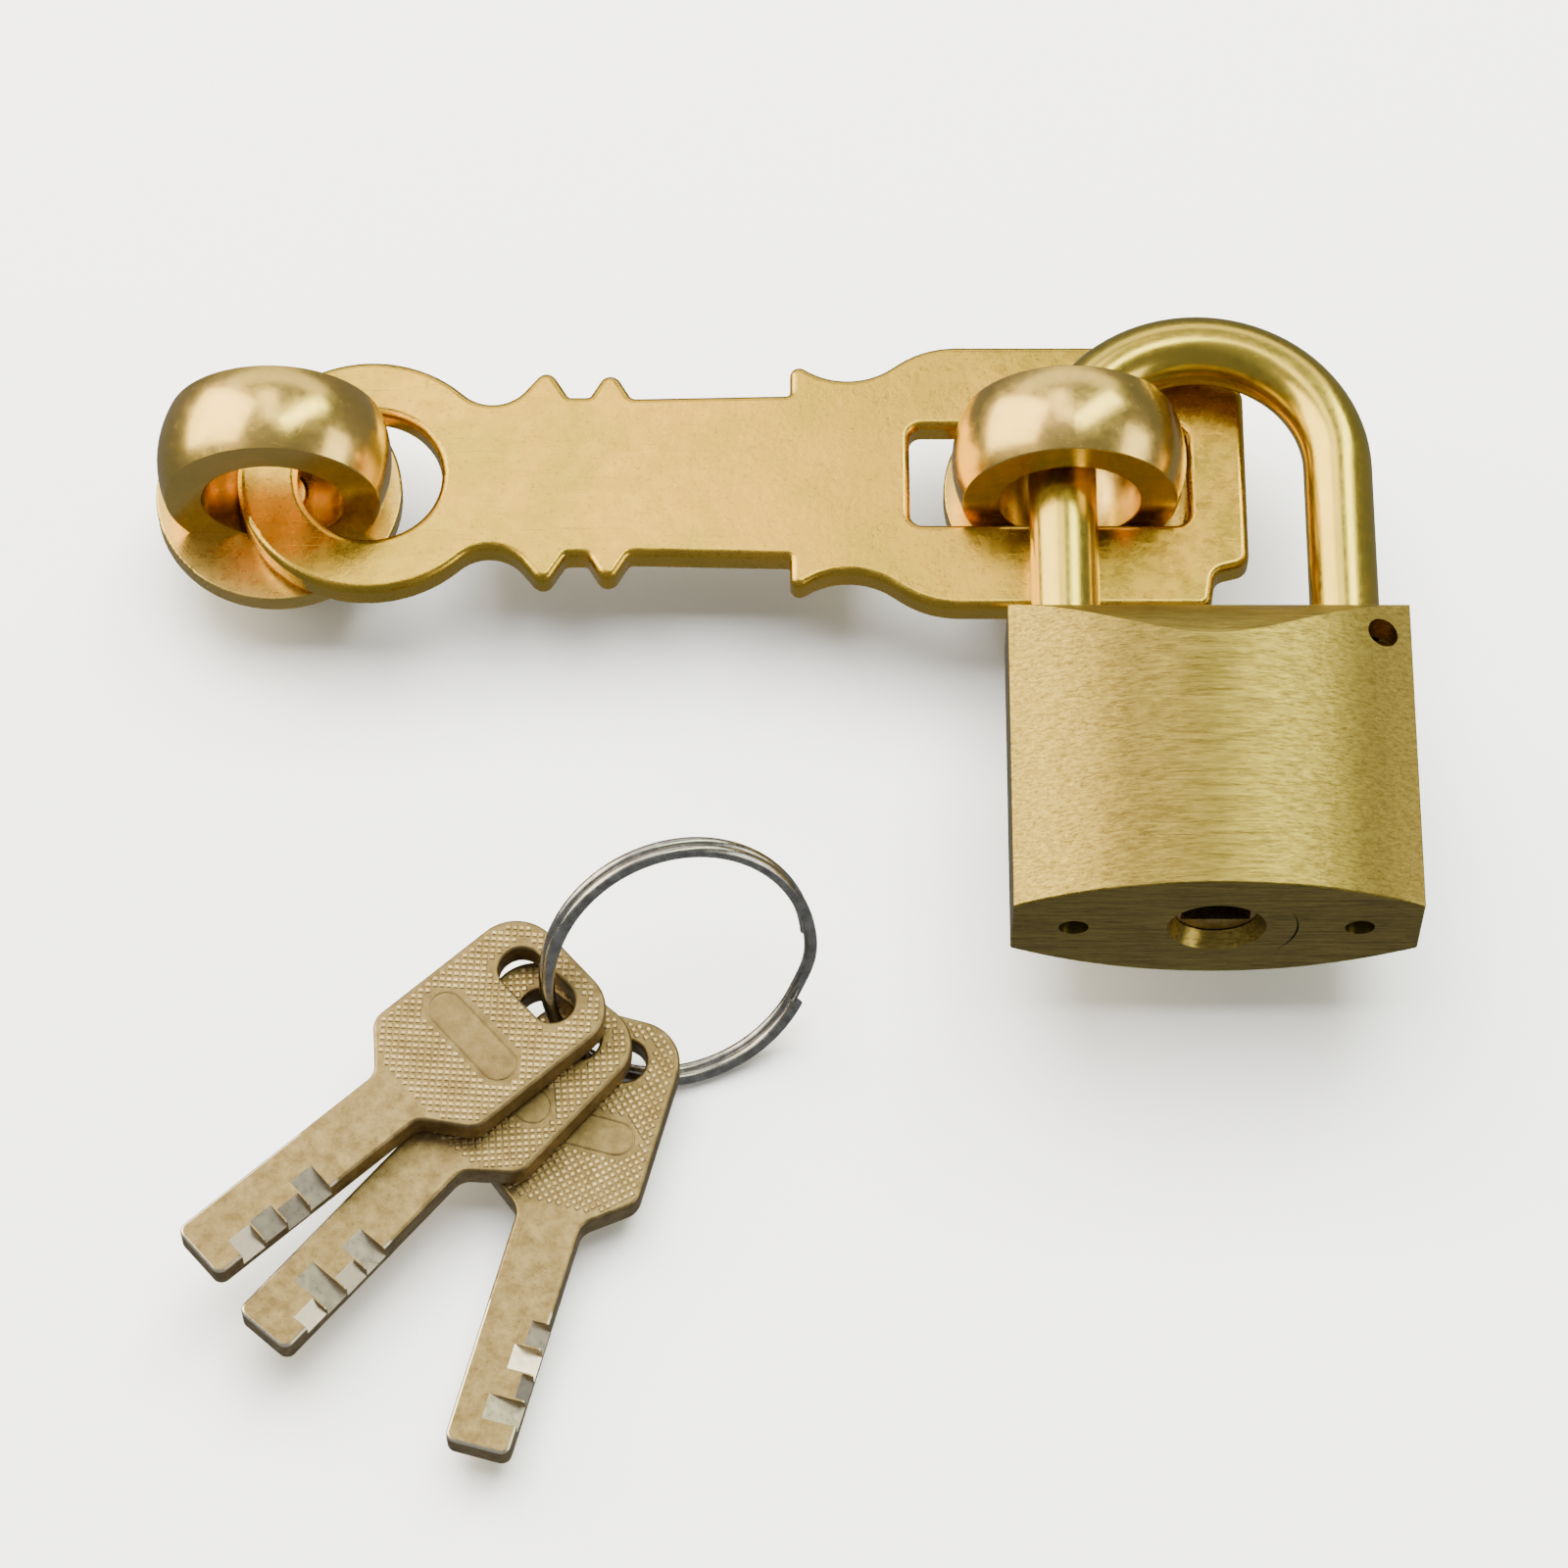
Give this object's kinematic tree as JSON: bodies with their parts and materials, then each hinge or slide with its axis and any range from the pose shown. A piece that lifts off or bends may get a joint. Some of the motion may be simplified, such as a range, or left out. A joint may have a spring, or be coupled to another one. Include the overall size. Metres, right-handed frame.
{
  "type": "hasp with padlock",
  "caption": "Brass hasp strap with shaped edges on two ball staples, locked by a brass padlock, with flat keys on a split ring.",
  "frame": {"origin": "the hinge staple's axis on the door's face, where its flange seats", "axes": "+X along the strap from the hinge staple to the lock staple, +Y up the door and away from the hanging padlock, +Z straight out of the door"},
  "size_m": [0.1253, 0.1171, 0.0303],
  "materials": {
    "cast_brass": "cast and tumbled, fine orange-peel grain, lacquered",
    "turned_brass": "turned and polished, fine tool lines",
    "shackle_brass": "polished round bar",
    "brushed_brass": "brushed along the body's width",
    "cylinder_brass": "machined",
    "key_brass": "dull antique brass, diamond-knurled heads, bright milled cuts",
    "copper_pin": "drawn copper-coloured pin",
    "ring_steel": "dark drawn steel wire",
    "spring_steel": "plain spring steel"
  },
  "bodies": {
    "hinge_staple": {"hinge_staple_eye": "turned_brass", "hinge_staple_stud": "turned_brass"},
    "strap": {"strap": "cast_brass"},
    "lock_staple": {"lock_staple_eye": "turned_brass", "lock_staple_stud": "turned_brass"},
    "shackle": {"shackle": "shackle_brass"},
    "padlock_body": {"padlock_body": "brushed_brass", "shackle_retaining_pin": "copper_pin", "shackle_spring": "spring_steel", "cylinder_shell": "brushed_brass", "latch_spring": "spring_steel"},
    "cylinder_core": {"cylinder_core": "cylinder_brass", "sidebar": "spring_steel", "lock_disc_1": "cylinder_brass", "lock_disc_2": "cylinder_brass", "lock_disc_3": "cylinder_brass", "lock_disc_4": "cylinder_brass", "lock_disc_5": "cylinder_brass", "lock_disc_6": "cylinder_brass", "disc_spacer_1": "spring_steel", "disc_spacer_2": "spring_steel", "disc_spacer_3": "spring_steel", "disc_spacer_4": "spring_steel", "disc_spacer_5": "spring_steel"},
    "latch_bolt": {"latch_bolt": "cylinder_brass"},
    "split_ring": {"split_ring": "ring_steel"},
    "key_1": {"key_1": "key_brass"},
    "key_2": {"key_2": "key_brass"},
    "key_3": {"key_3": "key_brass"}
  },
  "joints": [
    {"name": "strap_swing", "type": "hinge", "parent": "hinge_staple", "child": "strap", "pos_m": [-0.0013, 0, 0.0084], "axis": [0, -1, 0], "range_deg": [0, 100]},
    {"name": "staple_play", "type": "slide", "parent": "strap", "child": "lock_staple", "axis": [0, 0, -1], "range_m": [0, 0.0008]},
    {"name": "padlock_turn", "type": "hinge", "parent": "lock_staple", "child": "shackle", "pos_m": [0.0792, -0.009, 0.0103], "axis": [0, -1, 0], "range_deg": [0, 38]},
    {"name": "shackle_release", "type": "slide", "parent": "shackle", "child": "padlock_body", "axis": [0, -1, 0], "range_m": [0, 0.01], "deforming": ["shackle_spring"]},
    {"name": "core_turn", "type": "hinge", "parent": "padlock_body", "child": "cylinder_core", "pos_m": [0.093, -0.04, 0.0103], "axis": [0, 1, 0], "range_deg": [0, 90]},
    {"name": "latch_slide", "type": "slide", "parent": "padlock_body", "child": "latch_bolt", "axis": [1, 0, 0], "range_m": [0, 0.003], "deforming": ["latch_spring"]},
    {"name": "ring_lift", "type": "slide", "parent": "hinge_staple", "child": "split_ring", "axis": [0, 0, 1], "range_m": [0, 0.04]},
    {"name": "key_1_fan", "type": "hinge", "parent": "split_ring", "child": "key_1", "pos_m": [0.02851, -0.05724, 0.00183], "axis": [0, 0, 1], "range_deg": [-8, 8]},
    {"name": "key_2_fan", "type": "hinge", "parent": "split_ring", "child": "key_2", "pos_m": [0.02973, -0.05879, -0.00137], "axis": [0, 0, 1], "range_deg": [-8, 8]},
    {"name": "key_3_fan", "type": "hinge", "parent": "split_ring", "child": "key_3", "pos_m": [0.03216, -0.05996, -0.00457], "axis": [0, 0, 1], "range_deg": [-8, 8]}
  ],
  "couplings": [
    {"joint": "core_turn", "follows": "shackle_release", "rad_per_m": 157},
    {"joint": "latch_slide", "follows": "shackle_release", "ratio": 0.2999}
  ]
}
